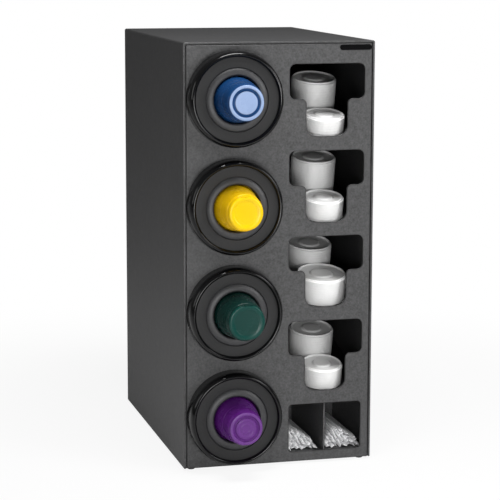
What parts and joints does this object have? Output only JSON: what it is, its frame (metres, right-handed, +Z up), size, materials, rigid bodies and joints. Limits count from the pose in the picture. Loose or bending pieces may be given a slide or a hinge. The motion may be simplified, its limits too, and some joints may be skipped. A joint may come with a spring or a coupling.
{
  "type": "countertop cup dispenser",
  "caption": "Tall countertop cabinet with sprung horizontal cup tubes beside lid shelves and a divided straw bin.",
  "frame": {"origin": "on the counter, under the middle of the whole object's box", "axes": "+Z up, the front with the cups faces -Y, +X to the right seen from the front"},
  "size_m": [0.39, 0.7122, 0.855],
  "materials": {
    "cabinet_plastic": "charcoal, fine haircell grain",
    "gloss_black": "polished black",
    "satin_black": "satin moulded black",
    "diaphragm_rubber": "smooth black rubber",
    "foot_rubber": "matt black rubber",
    "steel": "plain steel",
    "lid_white": "thin glossy white sheet",
    "straw_paper": "white paper sleeve",
    "cup_blue": "glossy blue",
    "cup_yellow": "glossy yellow",
    "cup_green": "glossy dark green",
    "cup_purple": "glossy purple"
  },
  "bodies": {
    "cabinet": {"shell": "cabinet_plastic", "front_panel": "cabinet_plastic", "back_panel": "cabinet_plastic", "base_panel": "cabinet_plastic", "divider": "cabinet_plastic", "tube_bracket": "cabinet_plastic", "front_cleats": "cabinet_plastic", "back_cleats": "cabinet_plastic", "shelf_rails": "cabinet_plastic", "straw_bin": "cabinet_plastic", "lid_shelf_1": "cabinet_plastic", "lid_shelf_2": "cabinet_plastic", "lid_shelf_3": "cabinet_plastic", "lid_shelf_4": "cabinet_plastic", "back_screws": "steel", "feet": "foot_rubber", "nameplate": "gloss_black", "lock_rings": "satin_black", "straws": "straw_paper", "lids_1": "lid_white", "diaphragm_1": "diaphragm_rubber", "tube_1": "satin_black", "end_cap_1": "satin_black", "lids_2": "lid_white", "diaphragm_2": "diaphragm_rubber", "tube_2": "satin_black", "end_cap_2": "satin_black", "lids_3": "lid_white", "diaphragm_3": "diaphragm_rubber", "tube_3": "satin_black", "end_cap_3": "satin_black", "lids_4": "lid_white", "diaphragm_4": "diaphragm_rubber", "tube_4": "satin_black", "end_cap_4": "satin_black"},
    "collar_body_1": {"collar_1": "gloss_black", "face_ring_1": "satin_black"},
    "feeder_1": {"follower_1": "satin_black", "springs_1": "steel", "cup_stack_1": "cup_blue"},
    "front_cup_1": {"cup_1": "cup_blue"},
    "collar_body_2": {"collar_2": "gloss_black", "face_ring_2": "satin_black"},
    "feeder_2": {"follower_2": "satin_black", "springs_2": "steel", "cup_stack_2": "cup_yellow"},
    "front_cup_2": {"cup_2": "cup_yellow"},
    "collar_body_3": {"collar_3": "gloss_black", "face_ring_3": "satin_black"},
    "feeder_3": {"follower_3": "satin_black", "springs_3": "steel", "cup_stack_3": "cup_green"},
    "front_cup_3": {"cup_3": "cup_green"},
    "collar_body_4": {"collar_4": "gloss_black", "face_ring_4": "satin_black"},
    "feeder_4": {"follower_4": "satin_black", "springs_4": "steel", "cup_stack_4": "cup_purple"},
    "front_cup_4": {"cup_4": "cup_purple"}
  },
  "joints": [
    {"name": "collar_1_twist", "type": "hinge", "parent": "cabinet", "child": "collar_body_1", "pos_m": [-0.095, -0.2411, 0.745], "axis": [0, -1, 0], "range_deg": [0, 26]},
    {"name": "feeder_1_slide", "type": "slide", "parent": "cabinet", "child": "feeder_1", "axis": [0, 1, 0], "range_m": [0, 0.3], "stiffness_N_per_m": 20, "springref_m": -0.2, "deforming": ["springs_1"]},
    {"name": "cup_1_pull", "type": "slide", "parent": "feeder_1", "child": "front_cup_1", "axis": [0, -1, 0], "range_m": [0, 0.13], "deforming": ["diaphragm_1"]},
    {"name": "collar_2_twist", "type": "hinge", "parent": "cabinet", "child": "collar_body_2", "pos_m": [-0.095, -0.2411, 0.533], "axis": [0, -1, 0], "range_deg": [0, 26]},
    {"name": "feeder_2_slide", "type": "slide", "parent": "cabinet", "child": "feeder_2", "axis": [0, 1, 0], "range_m": [0, 0.3], "stiffness_N_per_m": 20, "springref_m": -0.2, "deforming": ["springs_2"]},
    {"name": "cup_2_pull", "type": "slide", "parent": "feeder_2", "child": "front_cup_2", "axis": [0, -1, 0], "range_m": [0, 0.13], "deforming": ["diaphragm_2"]},
    {"name": "collar_3_twist", "type": "hinge", "parent": "cabinet", "child": "collar_body_3", "pos_m": [-0.095, -0.2411, 0.321], "axis": [0, -1, 0], "range_deg": [0, 26]},
    {"name": "feeder_3_slide", "type": "slide", "parent": "cabinet", "child": "feeder_3", "axis": [0, 1, 0], "range_m": [0, 0.3], "stiffness_N_per_m": 20, "springref_m": -0.2, "deforming": ["springs_3"]},
    {"name": "cup_3_pull", "type": "slide", "parent": "feeder_3", "child": "front_cup_3", "axis": [0, -1, 0], "range_m": [0, 0.13], "deforming": ["diaphragm_3"]},
    {"name": "collar_4_twist", "type": "hinge", "parent": "cabinet", "child": "collar_body_4", "pos_m": [-0.095, -0.2411, 0.109], "axis": [0, -1, 0], "range_deg": [0, 26]},
    {"name": "feeder_4_slide", "type": "slide", "parent": "cabinet", "child": "feeder_4", "axis": [0, 1, 0], "range_m": [0, 0.3], "stiffness_N_per_m": 20, "springref_m": -0.2, "deforming": ["springs_4"]},
    {"name": "cup_4_pull", "type": "slide", "parent": "feeder_4", "child": "front_cup_4", "axis": [0, -1, 0], "range_m": [0, 0.13], "deforming": ["diaphragm_4"]}
  ]
}
